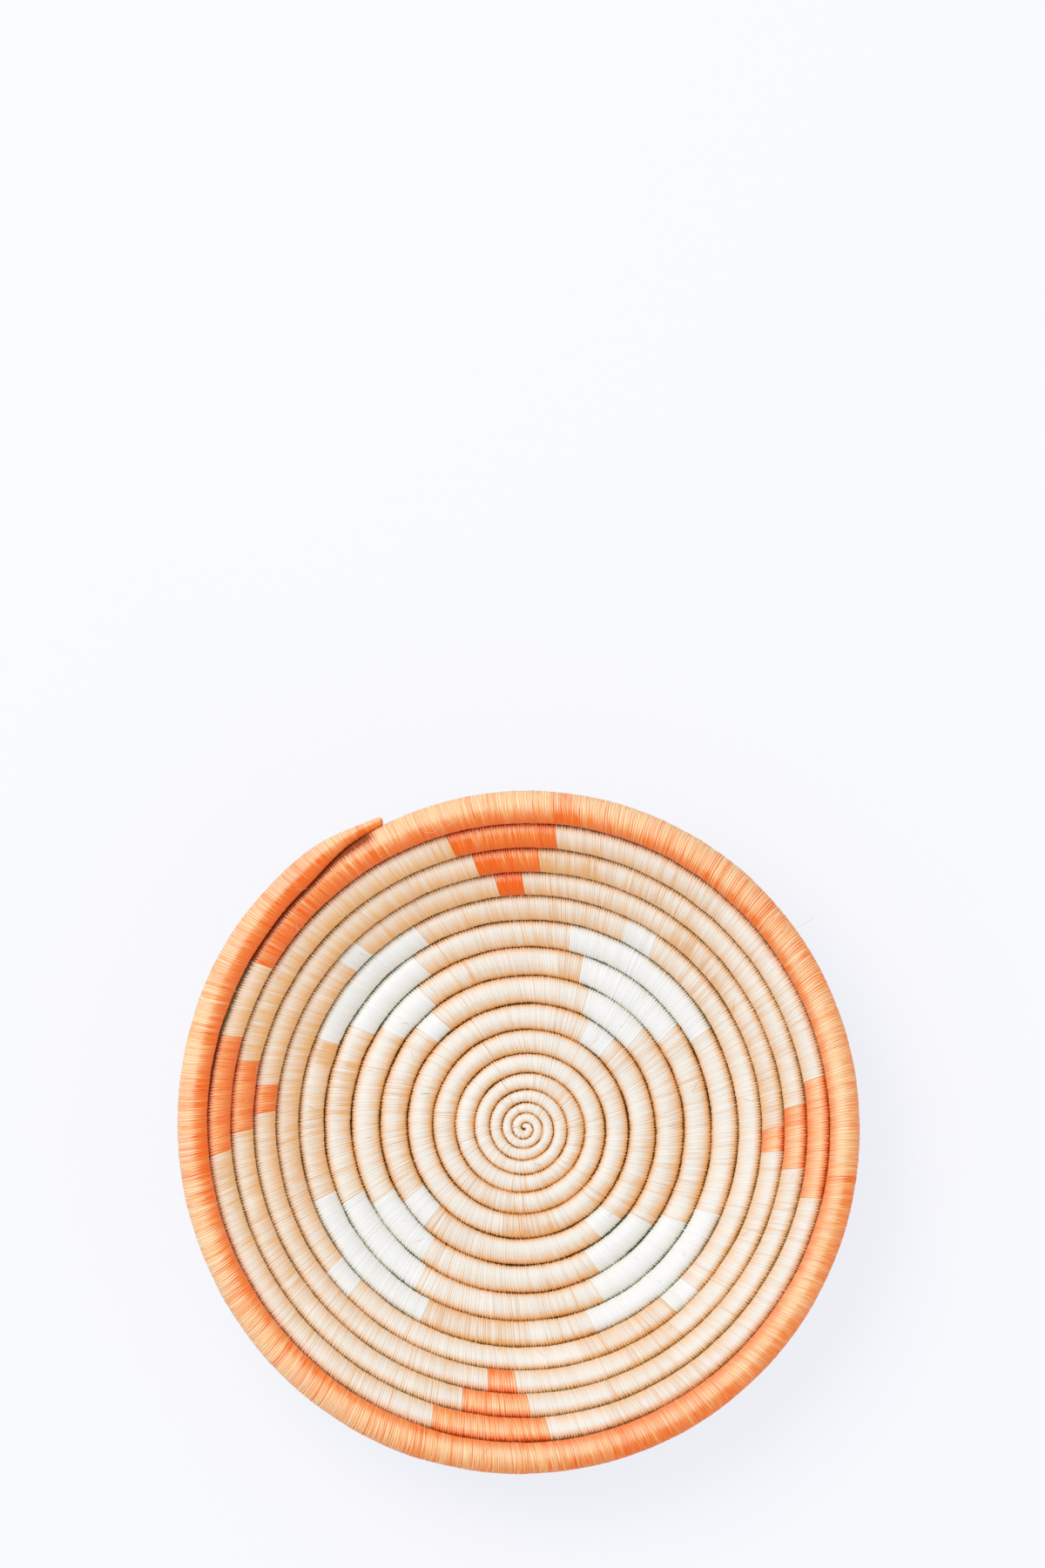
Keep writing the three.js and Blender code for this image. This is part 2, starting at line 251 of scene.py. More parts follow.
class Coil:
    """The coil in a table: where its middle lies, how thick it is, and how it meets its neighbours."""

    def __init__(self):
        self.turn = turn = np.arange(-KNOT_TURNS, COIL_TURNS + 1e-9, TABLE_STEP)
        distance = laid(turn)
        self.slope, self.radius, self.height = profile(distance)
        self.half = coil_radius(turn)
        self.tail = in_tail(turn)
        inner = [np.interp(turn - 1, turn, a) for a in (self.radius, self.height)]
        reach = np.hypot(self.radius - inner[0], self.height - inner[1])
        sunk = self.slope - TAIL_SINK * self.tail
        self.radius = np.where(self.tail > 0, inner[0] + reach * np.cos(sunk), self.radius)
        self.height = np.where(self.tail > 0, inner[1] + reach * np.sin(sunk), self.height)
        self.slope = sunk
        self._meet_neighbours()
        self.length = np.concatenate([[0], np.cumsum(np.diff(turn) * 2 * math.pi * self.radius[1:])])

    def _meet_neighbours(self):
        turn, half = self.turn, self.half
        alone = half * HEIGHT_SHARE

        def beside(step):
            near = [np.interp(turn + step, turn, a) for a in (self.radius, self.height, half)]
            rise, run = near[1] - self.height, near[0] - self.radius
            return np.hypot(run, rise), np.arctan2(rise * step, run * step), near[2]

        apart, direction, other = beside(1)
        shared = apart * half / (half + other)
        covered = (turn <= COIL_TURNS - 1) * (1 - in_tail(turn + 1))
        self.free = 1 - covered  # how far the outer side stands free, as the rim's does
        self.out = alone + (shared + OUTWARD - alone) * covered
        self.out_lean = self.slope + (direction - self.slope) * covered
        apart, direction, _ = beside(-1)
        seated = turn >= 1 - KNOT_TURNS
        self.back = np.where(seated, apart - np.interp(turn - 1, turn, self.out), alone)
        self.back_lean = np.where(seated, direction, self.slope)

    def at(self, turn, *names):
        return [np.interp(turn, self.turn, getattr(self, name)) for name in names]

    def turn_at_length(self, length):
        return np.interp(length, self.length, self.turn)


COIL = Coil()


def turn_at(round_in, bearing):
    """Where a bearing falls in a round."""
    tail_bearing = math.degrees(START_BEARING) + 360 * COIL_TURNS
    return COIL_TURNS - round_in + ((bearing - tail_bearing) % 360) / 360


class Strands:
    """The strands of sisal along the whole coil: where each begins, and how it differs from the rest."""

    def __init__(self, context):
        settings = context.scene.coiled_bowl_wrap
        rng = np.random.default_rng(settings.seed)
        pitch = settings.strand_width / MM
        count = int(COIL.length[-1] / pitch * 1.2)
        widths = pitch * np.clip(rng.normal(1, 0.17, count), 0.62, 1.5)
        edges = np.concatenate([[0], np.cumsum(widths)])
        edges = edges[edges < COIL.length[-1] - 0.3 * pitch]
        edges = np.concatenate([edges, [COIL.length[-1]]])
        self.edge = COIL.turn_at_length(edges)
        n = len(edges)
        self.lean = settings.strand_lean * (1 + 0.35 * slow_noise(rng, n, 14) + 0.1 * rng.normal(size=n))
        self.sink = settings.strand_relief / MM * np.clip(1 + 0.3 * rng.normal(size=n), 0.4, 1.9)
        self.proud = 0.05 * np.clip(rng.normal(size=n), -1.5, 1.5)
        self.swell = 0.11 * slow_noise(rng, n, 8) + 0.09 * slow_noise(rng, n, 30)
        self.tone = 0.3 * rng.normal(size=n) + spliced(rng, n, 14, 60, 0.42)
        self.bold_tone = 0.6 * rng.normal(size=n) + spliced(rng, n, 6, 30, 0.3)
        self.bold_tone += 0.25 * slow_noise(rng, n, 25)
        for round_in, patches in PATCHES.items():
            for first, last, tone in patches:
                a, b = self.indices(round_in, first, last)
                self.tone[a:b] = 0.35 * self.tone[a:b] + tone
                self.bold_tone[a:b] = 0.45 * self.bold_tone[a:b] + tone

    def index(self, turn):
        """The edge nearest to a place."""
        return int(np.argmin(np.abs(self.edge - turn)))

    def indices(self, round_in, *bearings):
        """The same for bearings in a round."""
        return [self.index(turn_at(round_in, bearing)) for bearing in bearings]


def slow_noise(rng, count, length):
    """Noise that changes over about so many strands, between -1 and 1."""
    knots = rng.uniform(-1, 1, count // length + 3)
    return np.interp(np.arange(count) / length, np.arange(len(knots)), knots)


def spliced(rng, count, shortest, longest, spread):
    """A tone that holds for one length of sisal, and changes where the next one is spliced in."""
    tone = np.zeros(count)
    start = 0
    while start < count:
        run = int(rng.integers(shortest, longest))
        tone[start : start + run] = spread * rng.normal()
        start += run
    return tone


# --- Wraps ---
class Columns:
    """The points of a wrap along the coil, in order. Each column is a ring round the coil's section."""

    COUNT, SUNK, TONE, SIZE = 1, 2, 4, 6  # rows of the table

    def __init__(self, strands, bold=False):
        self.strands = strands
        self.tone_of = strands.bold_tone if bold else strands.tone
        self.parts = []

    def wrap(self, first, last):
        """Strands that show, from one edge to another, ending on a valley."""
        s = self.strands
        i = np.repeat(np.arange(first, last), len(ACROSS))
        across = np.tile(ACROSS, last - first)
        sink = np.tile(SINK, last - first) * s.sink[i] - s.proud[i] * (across > 0) - s.swell[i]
        turn = s.edge[i] + across * (s.edge[i + 1] - s.edge[i])
        self._add(turn, i + across, sink, 0, i)
        self._add([s.edge[last]], [last], [s.sink[last] - s.swell[last]], 0, [last])

    def layer(self, first, last, depth):
        """A layer that never shows, at a depth under the outside. It may run back along the coil."""
        s = self.strands
        step = HIDDEN_STRIDE if last > first else -HIDDEN_STRIDE
        i = np.array([*range(first, last, step), last])
        self._add(s.edge[i], i, np.zeros(len(i)), depth, i)

    def _add(self, turn, count, sink, depth, i):
        turn = np.asarray(turn, float)
        whole = np.ones(len(turn))
        i = np.asarray(i)
        rows = [turn, count, sink, depth * whole, self.tone_of[i], self.strands.lean[i], whole]
        self.parts.append(np.array(rows))

    def round_tip(self):
        """Shrinks the last column to a blunt tip over a few more."""
        last = self.parts[-1][:, -1:]
        for angle in TIP_ANGLES:
            ring = last.copy()
            ring[self.COUNT] = last[self.COUNT] + 0.5  # the middle of a strand
            ring[self.SUNK] = 0
            ring[self.SIZE] = math.cos(angle)
            self.parts.append(ring)

    def close(self):
        """Runs back to the first column, which closes a sleeve."""
        self.parts.append(self.parts[0][:, :1])

    def stacked(self):
        return np.concatenate(self.parts, axis=1)


def relief_share(closeness, free):
    """How far the strands stand apart round the section: not at all where the turns touch, most beside it."""
    apart = smoothstep(closeness, 0, 0.16) * (1 + 0.8 * (1 - smoothstep(closeness, 0.2, 0.7)))
    return apart + (1 - apart) * free


def skin(columns):
    """Points of a wrap's columns, as (rows, columns, 3) in metres, how far each lies from a seat, and how
    far it is sheltered by a neighbour."""
    turn, _, sink, depth, _, lean, size = (a[None, :] for a in columns)
    cos, sin = np.cos(ANGLES)[:, None], np.sin(ANGLES)[:, None]
    radius, out, back, tail = COIL.at(turn, "radius", "out", "back", "tail")
    half = np.where(cos > 0, out, back)
    settled = (1 - tail) * smoothstep(turn, -KNOT_TURNS, -KNOT_TURNS + 0.4)
    along = -np.tan(lean) * half * cos * settled / (2 * math.pi * np.maximum(radius, 1.2))
    turn = np.clip(turn + along, -KNOT_TURNS, COIL_TURNS)

    names = "slope radius height half out out_lean back back_lean free".split()
    slope, radius, height, thick, out, out_lean, back, back_lean, free = COIL.at(turn, *names)
    free = free * (cos > 0)
    seated = turn >= 1 - KNOT_TURNS
    free = np.where(~seated & (cos < 0), 1, free)
    power = 2 / (SEATED_POWER + (FREE_POWER - SEATED_POWER) * free)
    side = np.where(cos > 0, out, back) + SQUEEZE * (1 - free)
    x = (side - depth) * np.sign(cos) * np.abs(cos) ** power
    z = (thick * HEIGHT_SHARE - depth) * np.sign(sin) * np.abs(sin) ** power
    closeness = np.abs(sin) * np.ones_like(turn)
    sunk = np.minimum(sink * relief_share(closeness, free), DEEPEST_VALLEY)
    along_line = 1 - sunk / np.maximum(np.hypot(x, z), 0.4)
    angle = out_lean * (1 + cos) / 2 + back_lean * (1 - cos) / 2
    right = (x * np.cos(angle) - z * np.sin(angle)) * size
    up = (x * np.sin(angle) + z * np.cos(angle)) * size
    up = np.maximum(up, depth - FOOT_HEIGHT - height)
    right, up = right * along_line, up * along_line
    bearing = bearing_of(turn)
    nose = thick * np.sqrt(np.maximum(0, 1 - size**2)) * NOSE_SHARE
    reach = radius + right
    place = np.stack(
        [
            MIDDLE[0] + reach * np.sin(bearing) + nose * np.cos(bearing),
            MIDDLE[1] + reach * np.cos(bearing) - nose * np.sin(bearing),
            FOOT_HEIGHT + height + up,
        ],
        axis=-1,
    )
    # up the wall each turn overhangs the one below, so the painted shade of the gap lies further up its flank
    overhung = OVERHANG * slope / WALL_SLOPE * np.maximum(cos, 0) ** 2
    # and so it does on both sides of the seat of the tail
    by_tail = smoothstep(turn, SHADE_FROM, SHADE_TO) * np.maximum(-cos, 0) ** 2
    rim_there = smoothstep(turn + 1, SHADE_FROM, SHADE_TO) * (1 - smoothstep(turn + 1, TIP_FROM, COIL_TURNS))
    overhung = overhung + TAIL_SHADE * (by_tail + rim_there * (1 - free) * np.maximum(cos, 0) ** 2)
    closeness = np.clip(closeness - overhung, 0, 1)
    open_share = free * (1 - TIP_GAP * rim_there * (cos > 0))
    return place * MM, closeness + (1 - closeness) * open_share, 1 - free * np.maximum(cos, 0) ** 0.5


def mesh_from(bm, name):
    mesh = bpy.data.meshes.new(name)
    bm.to_mesh(mesh)
    bm.free()
    return mesh


def grid_mesh(name, points):
    """A grid of faces over (rows, columns, 3) points in metres, still open where its edges meet."""
    rows, count = points.shape[:2]
    bm = bmesh.new()
    bmesh.ops.create_grid(bm, x_segments=count - 1, y_segments=rows - 1, size=1)
    mesh = mesh_from(bm, name)
    if len(mesh.vertices) != rows * count:
        raise RuntimeError(f"{name}: the grid has {len(mesh.vertices)} points, not {rows * count}")
    mesh.vertices.foreach_set("co", points.reshape(-1).astype(np.float32))
    return mesh


def close_grids(mesh, *grids):
    """Joins a tube's seam and fills its ends, in each of some grids, and puts them into a mesh."""
    bm = bmesh.new()
    for grid in grids or (mesh,):
        bm.from_mesh(grid)
    bmesh.ops.remove_doubles(bm, verts=bm.verts, dist=1e-8)
    bmesh.ops.holes_fill(bm, edges=[e for e in bm.edges if e.is_boundary], sides=0)
    bmesh.ops.recalc_face_normals(bm, faces=bm.faces)
    bm.to_mesh(mesh)
    bm.free()
    mesh.shade_smooth()
    for grid in grids:
        bpy.data.meshes.remove(grid)


def woven_mesh(name, columns):
    """A closed mesh over a wrap's columns. Its UV map counts strands along the coil, and goes once round."""
    table = columns.stacked()
    points, open_share, sheltered = skin(table)
    mesh = grid_mesh(name, points)
    count = table.shape[1]
    corner = np.empty(len(mesh.loops), np.int32)
    mesh.loops.foreach_get("vertex_index", corner)
    uv = np.stack([table[Columns.COUNT][corner % count], ANGLES[corner // count] / (2 * math.pi)], axis=1)
    mesh.uv_layers.new(name="Strands").data.foreach_set("uv", uv.reshape(-1).astype(np.float32))
    tone = np.tile(table[Columns.TONE], (ROWS, 1))
    for attribute, values in (("tone", tone), ("seat", open_share), ("shelter", sheltered)):
        layer = mesh.attributes.new(attribute, "FLOAT", "POINT")
        layer.data.foreach_set("value", values.reshape(-1).astype(np.float32))
    close_grids(mesh)
    mesh.set_sharp_from_angle(angle=SHARP_ANGLE)
    return mesh


# --- Loose fibres ---
def on_coil(turn, angle, lift):
    """A point over the coil's surface, in millimetres, at an angle round the section from its outer side."""
    slope, radius, height, half = COIL.at(turn, "slope", "radius", "height", "half")
    reach = radius + (half + lift) * np.cos(angle + slope)
    bearing = bearing_of(turn)
    up = FOOT_HEIGHT + height + (half * HEIGHT_SHARE + lift) * np.sin(angle + slope)
    return np.stack([MIDDLE[0] + reach * np.sin(bearing), MIDDLE[1] + reach * np.cos(bearing), up], axis=-1)


def top_height(x, y):
    """How high the coils' tops lie over a place in the bowl, in millimetres, or the height of the nearest."""
    x, y = x - MIDDLE[0], y - MIDDLE[1]
    first = ((math.atan2(x, y) - START_BEARING) / (2 * math.pi)) % 1
    turn = np.arange(first, COIL_TURNS, 1.0)
    radius, height, half = COIL.at(turn, "radius", "height", "half")
    aside = np.minimum(np.abs(math.hypot(x, y) - radius) / half, 1)
    tops = height + half * HEIGHT_SHARE * np.sqrt(1 - aside**2) - 99 * (aside == 1)
    best = np.argmax(tops) if tops.max() > 0 else np.argmin(np.abs(math.hypot(x, y) - radius))
    return FOOT_HEIGHT + max(tops[best], height[best])


def smooth_path(points, steps=5):
    """A smooth curve through a few points, more closely set."""
    points = np.asarray(points, float)
    padded = np.concatenate([[2 * points[0] - points[1]], points, [2 * points[-1] - points[-2]]])
    path = []
    for a, b, c, d in zip(padded, padded[1:], padded[2:], padded[3:]):
        for t in np.arange(steps) / steps:
            bent = (2 * a - 5 * b + 4 * c - d) * t**2 + (3 * b - a - 3 * c + d) * t**3
            path.append(0.5 * (2 * b + (c - a) * t + bent))
    return np.array([*path, points[-1]])


def laid_fibre(points):
    """A fibre that lies over the bowl's inside along points seen from above. Its ends sink in a little."""
    path = smooth_path([(x, y, top_height(x, y) + FIBRE_RADIUS) for x, y in points])
    path[[0, -1], 2] -= 2 * FIBRE_RADIUS
    return path


def sprung_fibres(rng, count, first, last):
    """Fibres that have come loose at one end, anywhere on a stretch of the coil."""
    paths = []
    for _ in range(count):
        turn = rng.uniform(first, last)
        length = rng.uniform(2, 6)
        lean = rng.normal(0.35, 0.5)
        spring = rng.uniform(0.1, 0.8)
        start = math.radians(rng.uniform(40, 140))
        way = rng.choice((-1, 1))
        radius, half = COIL.at(turn, "radius", "half")
        share = np.linspace(0, 1, 6)
        bend = rng.normal(0, 0.25) * share**2
        angle = start + way * share * length * math.cos(lean) / half
        along = turn + (share * math.sin(lean) + bend) * length / (2 * math.pi * radius)
        paths.append(on_coil(along, angle, spring * share**1.6 - FIBRE_RADIUS * (1 - share)))
    return paths


def fibre_grid(path, thickness):
    """A thin tube round a path, finer towards its ends."""
    tangent = np.gradient(path, axis=0)
    tangent /= np.linalg.norm(tangent, axis=1)[:, None]
    side = np.cross(tangent, (0.13, 0.21, 1.0))
    side /= np.linalg.norm(side, axis=1)[:, None]
    over = np.cross(side, tangent)
    around = np.linspace(0, 2 * math.pi, FIBRE_SIDES + 1)[:, None, None]
    ends = np.minimum(np.arange(len(path)), np.arange(len(path))[::-1])
    radius = thickness * np.minimum(1, 0.45 + 0.3 * ends)[:, None]
    rings = path + radius * (np.cos(around) * side + np.sin(around) * over)
    rings[-1] = rings[0]
    return grid_mesh("fibre", rings * MM)


def fibres_mesh(name, paths, thickness):
    """One mesh over many fibres."""
    mesh = bpy.data.meshes.new(name)
    close_grids(mesh, *[fibre_grid(path, thickness) for path in paths])
    return mesh


def new_object(name, data):
    thing = bpy.data.objects.new(name, data)
    bpy.context.scene.collection.objects.link(thing)
    return thing


def add_piece(name, mesh, material, slot, *nodes):
    """Puts a finished mesh on the object in place of its CAD nodes."""
    piece = new_object(name, mesh)
    mesh.materials.append(material)
    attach(piece, "root")
    if nodes:
        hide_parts(*nodes)


def add_wrap(name, columns, material, slot, node):
    """Makes a wrap's columns into a piece in place of its CAD node."""
    add_piece(name, woven_mesh(name, columns), material, slot, node)


def blocks_of(colour, sides, strands):
    """The blocks of one colour: node name, first and last strand edge."""
    return [
        (f"{colour}_wrap_{side}_{round_in}", *strands.indices(round_in, *block))
        for side, rounds in sides.items()
        for round_in, block in rounds.items()
    ]


# --- Materials ---
def linear(colour):
    """An sRGB hex colour as linear red, green, blue and alpha."""
    parts = [int(colour.lstrip("#")[i : i + 2], 16) / 255 for i in (0, 2, 4)]
    return [c / 12.92 if c <= 0.04045 else ((c + 0.055) / 1.055) ** 2.4 for c in parts] + [1.0]


def add(tree, kind, inputs=None, **settings):
    """Adds a node with its settings, and its inputs as values or as sockets to link."""
    node = tree.nodes.new("ShaderNode" + kind)
    for key, value in settings.items():
        setattr(node, key, value)
    for key, value in (inputs or {}).items():
        if isinstance(value, bpy.types.NodeSocket):
            tree.links.new(value, node.inputs[key])
        else:
            node.inputs[key].default_value = value
    return node


def new_material(name):
    """A material and its node tree, which is still empty."""
    material = bpy.data.materials.new(name)
    material.use_nodes = True
    material.node_tree.nodes.clear()
    return material, material.node_tree


def surface(tree, inputs):
    """Gives a material a principled surface."""
    shader = add(tree, "BsdfPrincipled", inputs)
    add(tree, "OutputMaterial", {"Surface": shader.outputs["BSDF"]})


def ramp(tree, factor, stops):
    """A colour ramp over hex colours."""
    node = add(tree, "ValToRGB", {"Fac": factor})
    elements = node.color_ramp.elements
    while len(elements) < len(stops):
        elements.new(0.5)
    for element, (position, colour) in zip(elements, stops):
        element.position = position
        element.color = linear(colour)
    return node.outputs["Color"]


# painted shade falls on this side, and the painted highlight on the other
FROM_WINDOW = (0.79, -0.61, 0.0)  # the side that faced away from the light, to the lower right


def wrapped_sisal(
    name, usual, *, deep, pale, shade, gap_shade, worn,
    painted_shade_share, painted_shade_steep, painted_highlight_share, edged, sheen, spread, streaked,
):
    """Hand-spun sisal leaf fibre, wound in flat shiny strands about a millimetre wide. Each strand is a
    bundle of hair-fine fibres that run along it, so it glints in streaks, and each took the dye a little
    differently. Where two turns press together painted shade darkens it, and the gap shows between the strand
    ends.

    The colours are its usual one and its deepest and palest, that of the painted shade on the side away from
    the window and on the flanks, that of the painted shade in the gaps, and that of the painted highlight on
    the side towards the window. Then come how much of the painted shade and of the painted highlight shows,
    how fast the painted shade deepens, and how dark the strands' edges, how strong the sheen, the tones and
    the streaks are."""
    material, tree = new_material(name)
    uv = add(tree, "UVMap", uv_map="Strands").outputs["UV"]
    along, about, _ = add(tree, "SeparateXYZ", {"Vector": uv}).outputs

    def maths(operation, *values, clamp=False):
        inputs = dict(enumerate(values))
        return add(tree, "Math", inputs, operation=operation, use_clamp=clamp).outputs[0]

    def times(a, b, *plus):
        return maths("MULTIPLY_ADD" if plus else "MULTIPLY", a, b, *plus)

    def rest(value, clamp=False):
        return maths("SUBTRACT", 1.0, value, clamp=clamp)

    def step(value, low, high):
        inputs = {"Value": value, "From Min": low, "From Max": high}
        return add(tree, "MapRange", inputs, interpolation_type="SMOOTHSTEP").outputs["Result"]

    def mix(factor, a, b):
        return add(tree, "Mix", {0: factor, 6: a, 7: b}, data_type="RGBA").outputs[2]

    def stored(name):
        return add(tree, "Attribute", attribute_name=name).outputs["Fac"]

    # one strand's own chance, and how far a point lies from its middle, 0 to 1 in the valley
    chance = add(tree, "TexWhiteNoise", {"W": maths("FLOOR", along)}, noise_dimensions="1D").outputs["Value"]
    aside = maths("ABSOLUTE", times(maths("FRACT", along), 2.0, -1.0))

    # fibres: streaks 0.3 mm wide and about 10 mm long. Real ones are 0.1 mm, too fine to show.
    fibre_at = {
        "X": times(along, 3.6),
        "Y": times(about, 3.4),
        "Z": times(chance, 40.0),  # each strand has its own
    }
    fibre_at = add(tree, "CombineXYZ", fibre_at).outputs["Vector"]
    noise = {"Vector": fibre_at, "Scale": 1.0, "Detail": 2.0, "Roughness": 0.6}
    fibre = add(tree, "TexNoise", noise).outputs["Fac"]

    # how the strand took the dye, in its whole length and in streaks; the pale streaks are also painted
    # glints, most of all on the orange
    seat_at, shelter = stored("seat"), stored("shelter")
    streak = times(fibre, 1.5, -0.75)
    lively = maths("ADD", times(stored("tone"), spread), times(streak, streaked))
    shown = maths("ADD", lively, 0.5, clamp=True)
    body = ramp(tree, shown, ((0.0, deep), (0.4, usual), (1.0, pale)))

    # painted shade where it faced away from the window, or is tilted in the shelter of a turn, more on some
    # strands than on others
    normal = add(tree, "TexCoord").outputs["Normal"]
    upright = add(tree, "SeparateXYZ", {"Vector": normal}).outputs["Z"]
    away = add(tree, "VectorMath", {0: normal, 1: FROM_WINDOW}, operation="DOT_PRODUCT").outputs["Value"]
    tilted = times(rest(times(upright, upright)), shelter)
    turned = times(maths("MAXIMUM", away, 0.0), times(shelter, 0.45, 0.55))
    turned = times(maths("POWER", tilted, 1.6), 0.7, turned)
    ragged = times(chance, 0.8, times(streak, 1.1, 0.6))
    turned = times(turned, maths("MAXIMUM", ragged, 0.1))
    painted_shade = rest(maths("EXPONENT", times(turned, -painted_shade_steep)))
    # and painted shade on the flanks, near the seat
    flank = maths("POWER", rest(times(seat_at, seat_at), clamp=True), 0.5)
    near = times(step(flank, 0.55, 1.0), 0.5)
    painted_shade = maths("SUBTRACT", maths("ADD", painted_shade, near), times(painted_shade, near))
    painted_shade = times(painted_shade, painted_shade_share)
    # painted highlight: it is paler where it faces the window
    faced = maths("ADD", maths("ADD", away, tilted), times(streak, 0.15))
    painted_highlight = times(times(chance, 0.9, 0.55), painted_highlight_share)
    painted_highlight = times(painted_highlight, rest(step(faced, -0.1, 0.34)))
    body = mix(painted_highlight, body, linear(worn))
    body = mix(painted_shade, body, linear(shade))

    # painted shade in the gap between the turns, which reaches up between the strands in dark teeth
    teeth = times(maths("POWER", aside, 2.5), 0.32, times(chance, 0.12))
    teeth = times(streak, 0.1, teeth)
    gap = rest(step(maths("SUBTRACT", seat_at, teeth), 0.04, 0.27))
    body = mix(times(gap, 0.92), body, linear(gap_shade))

    # each strand's edge is a fine shadow line, stronger on some than on others
    edge = times(maths("POWER", aside, 5.0), times(chance, edged, edged * 0.4))
    body = mix(edge, body, mix(0.22, linear(shade), linear(gap_shade)))

    height = maths("SUBTRACT", fibre, times(gap, 0.5))
    bump = add(tree, "Bump", {"Height": height, "Strength": 0.35, "Distance": 0.12 * MM})
    inputs = {
        "Base Color": body,
        "Roughness": times(fibre, 0.22, 0.36),
        "IOR": 1.5,
        "Specular IOR Level": 0.32,
        "Normal": bump.outputs["Normal"],
        "Sheen Weight": sheen,
        "Sheen Roughness": 0.45,
    }
    surface(tree, inputs)
    return material


def dried_grass():
    """Dried grass stems in a bundle: dull straw, streaked lengthwise, and only seen where a wrap wears out.
    It is made once."""
    name = "dried_grass_bundle"
    if name in bpy.data.materials:
        return bpy.data.materials[name]
    material, tree = new_material(name)
    uv = add(tree, "UVMap", uv_map="Strands").outputs["UV"]
    stretched = add(tree, "Mapping", {"Vector": uv, "Scale": (0.12, 60.0, 1.0)})
    noise = {"Vector": stretched.outputs["Vector"], "Scale": 1.0, "Detail": 3.0}
    grain = add(tree, "TexNoise", noise).outputs["Fac"]
    colour = ramp(tree, grain, ((0.3, "#8C7440"), (0.55, "#B79A5A"), (0.8, "#D3BC80")))
    bump = add(tree, "Bump", {"Height": grain, "Strength": 0.4, "Distance": 0.2 * MM}).outputs["Normal"]
    surface(tree, {"Base Color": colour, "Roughness": 0.75, "IOR": 1.45, "Normal": bump})
    return material


FIBRE_LOOKS = {
    "loose_natural_sisal_fibre": ("#E2CBA6", "#F4E9D6"),
    "loose_orange_sisal_fibre": ("#FFB679", "#FFE3C2"),
    "orange_stitch_sisal": ("#F47A3C", "#FFA873"),
    "loose_grass_fibre": ("#85806A", "#A8A490"),
}


def loose_fibre(name):
    """Single sisal fibres come out of the wrap: stiff, shiny and a little uneven in colour. They are drawn
    0.16 mm thick. Real ones are about 0.1 mm, too fine to show."""
    material, tree = new_material(name)
    at = add(tree, "TexCoord").outputs["Object"]
    uneven = add(tree, "TexNoise", {"Vector": at, "Scale": 400.0, "Detail": 1.0}).outputs["Fac"]
    dark, pale = FIBRE_LOOKS[name]
    colour = ramp(tree, uneven, ((0.35, dark), (0.65, pale)))
    rough = add(tree, "MapRange", {"Value": uneven, "To Min": 0.3, "To Max": 0.5}).outputs["Result"]
    surface(tree, {"Base Color": colour, "Roughness": rough, "IOR": 1.5, "Sheen Weight": 0.05})
    return material


# Each look gives the colour of its painted shade, of the painted shade in its gaps and of its painted
# highlight, and how much of them shows.
SISAL_LOOKS = {
    "natural": dict(
        deep="#E8C19A", pale="#F9F9F3", shade="#FCB75A", gap_shade="#6E6434", worn="#F6F7F3", painted_shade_share=0.95,
        painted_shade_steep=1.45, painted_highlight_share=0.5, edged=0.32, sheen=0.05, spread=0.42, streaked=0.6,
    ),
    "white": dict(
        deep="#EDEDE6", pale="#FBFDFE", shade="#F3EFE1", gap_shade="#93977C", worn="#FFFFFC", painted_shade_share=0.9,
        painted_shade_steep=1.0, painted_highlight_share=0.25, edged=0.3, sheen=0.05, spread=0.2, streaked=0.3,
    ),
    "orange": dict(
        deep="#FC6A08", pale="#FFE4AC", shade="#FF6E0C", gap_shade="#7C3410", worn="#FFE6C0", painted_shade_share=0.9,
        painted_shade_steep=2.4, painted_highlight_share=0.5, edged=0.6, sheen=0.04, spread=0.42, streaked=2.0,
    ),
}


def sisal_of(colour, context):
    """The sisal of one colour, made once."""
    name = f"{colour}_wrapped_sisal"
    usual = hex_of(getattr(context.scene.coiled_bowl_colours, colour))
    return bpy.data.materials.get(name) or wrapped_sisal(name, usual, **SISAL_LOOKS[colour])


def hex_of(colour):
    """A colour property, which holds display values, as hex."""
    return "#" + "".join(f"{round(c * 255):02X}" for c in colour[:3])


# --- Settings ---
def colour_property(name, description, code):
    """A colour that is set by its display values, with a hex colour as its default."""
    return bpy.props.FloatVectorProperty(
        name=name,
        description=description,
        default=[int(code[i : i + 2], 16) / 255 for i in (1, 3, 5)],
        min=0.0, max=1.0, size=3, subtype="COLOR_GAMMA",
    )


class CoiledBowlWrap(bpy.types.PropertyGroup):
    """How the sisal is wound"""

    strand_width: bpy.props.FloatProperty(
        name="Strand width",
        description="Usual width of one strand of sisal",
        default=0.94 * MM, min=0.5 * MM, max=3 * MM, precision=5, unit="LENGTH",
    )
    strand_relief: bpy.props.FloatProperty(
        name="Strand relief",
        description="Depth of the valley between two strands",
        default=0.145 * MM, min=0.0, max=0.5 * MM, precision=5, unit="LENGTH",
    )
    strand_lean: bpy.props.FloatProperty(
        name="Strand lean",
        description="How far the strands lean back along the coil as they cross it",
        default=math.radians(10), min=0.0, max=math.radians(30), subtype="ANGLE",
    )
    seed: bpy.props.IntProperty(
        name="Seed",
        description="Chooses how the strands vary",
        default=11, min=0,
    )


class CoiledBowlColours(bpy.types.PropertyGroup):
    """The three dyes"""

    natural: colour_property("Natural", "Undyed sisal", "#EFEFE8")
    white: colour_property("White", "Bleached sisal", "#F4F9FC")
    orange: colour_property("Orange", "Dyed sisal", "#FFA855")


